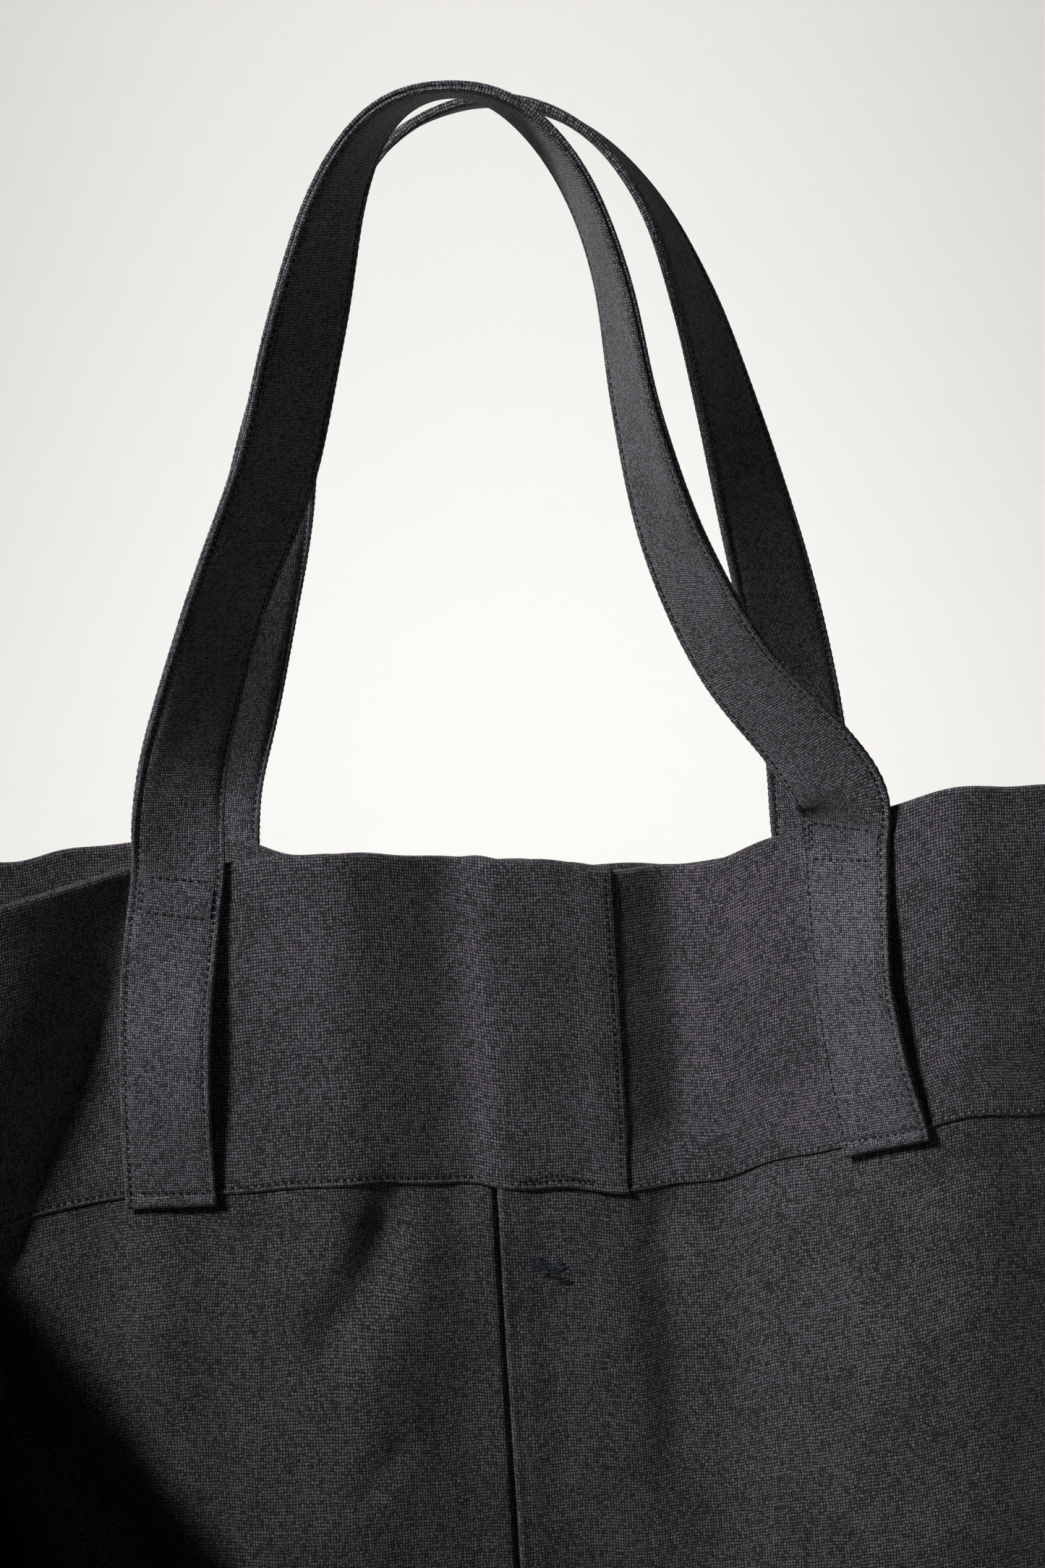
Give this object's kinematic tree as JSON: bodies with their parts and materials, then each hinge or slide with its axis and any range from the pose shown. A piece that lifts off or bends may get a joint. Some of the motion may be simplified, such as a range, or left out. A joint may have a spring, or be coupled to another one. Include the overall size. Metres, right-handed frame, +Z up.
{
  "type": "canvas tote bag",
  "caption": "Open tote bag of heavy woven canvas with a boxed base, a doubled band round the rim and folded strap handles sewn to the band.",
  "frame": {"origin": "middle of the boxed base, on the surface the bag stands on", "axes": "+Z up, +X to the right across the front, +Y from the front to the back"},
  "size_m": [0.3856, 0.1764, 0.5943],
  "materials": {
    "body_canvas": "matt plain weave, cool charcoal",
    "band_canvas": "matt plain weave, warm charcoal",
    "strap_canvas": "matt plain weave, worn paler charcoal",
    "dark_thread": "matt sewing thread",
    "navy_thread": "slightly glossy embroidery thread"
  },
  "bodies": {
    "base": {"base_panel": "body_canvas"},
    "front_wall": {"front_left_panel": "body_canvas", "front_right_panel": "body_canvas", "front_facing": "band_canvas", "front_band_left": "band_canvas", "front_band_right": "band_canvas", "front_left_tail": "strap_canvas", "front_right_tail": "strap_canvas", "front_box_stitches": "navy_thread", "front_tail_stitches": "dark_thread", "front_band_stitches": "dark_thread", "front_lap_stitches": "dark_thread", "darned_mend": "navy_thread"},
    "back_wall": {"back_left_panel": "body_canvas", "back_right_panel": "body_canvas", "back_facing": "band_canvas", "back_band": "band_canvas", "back_left_tail": "strap_canvas", "back_right_tail": "strap_canvas", "back_box_stitches": "navy_thread", "back_tail_stitches": "dark_thread", "back_band_stitches": "dark_thread"},
    "front_loop": {"front_handle": "strap_canvas", "front_handle_stitches": "dark_thread"},
    "back_loop": {"back_handle": "strap_canvas", "back_handle_stitches": "dark_thread"}
  },
  "joints": [
    {"name": "front_wall_open", "type": "hinge", "parent": "base", "child": "front_wall", "pos_m": [0, -0.0514, 0], "axis": [1, 0, 0], "range_deg": [0, 6]},
    {"name": "back_wall_open", "type": "hinge", "parent": "base", "child": "back_wall", "pos_m": [0, 0.0514, 0], "axis": [-1, 0, 0], "range_deg": [0, 6]},
    {"name": "front_handle_drop", "type": "hinge", "parent": "front_wall", "child": "front_loop", "pos_m": [0, -0.0425, 0.374], "axis": [1, 0, 0], "range_deg": [0, 155]},
    {"name": "back_handle_drop", "type": "hinge", "parent": "back_wall", "child": "back_loop", "pos_m": [0, 0.0415, 0.374], "axis": [-1, 0, 0], "range_deg": [0, 188]}
  ]
}
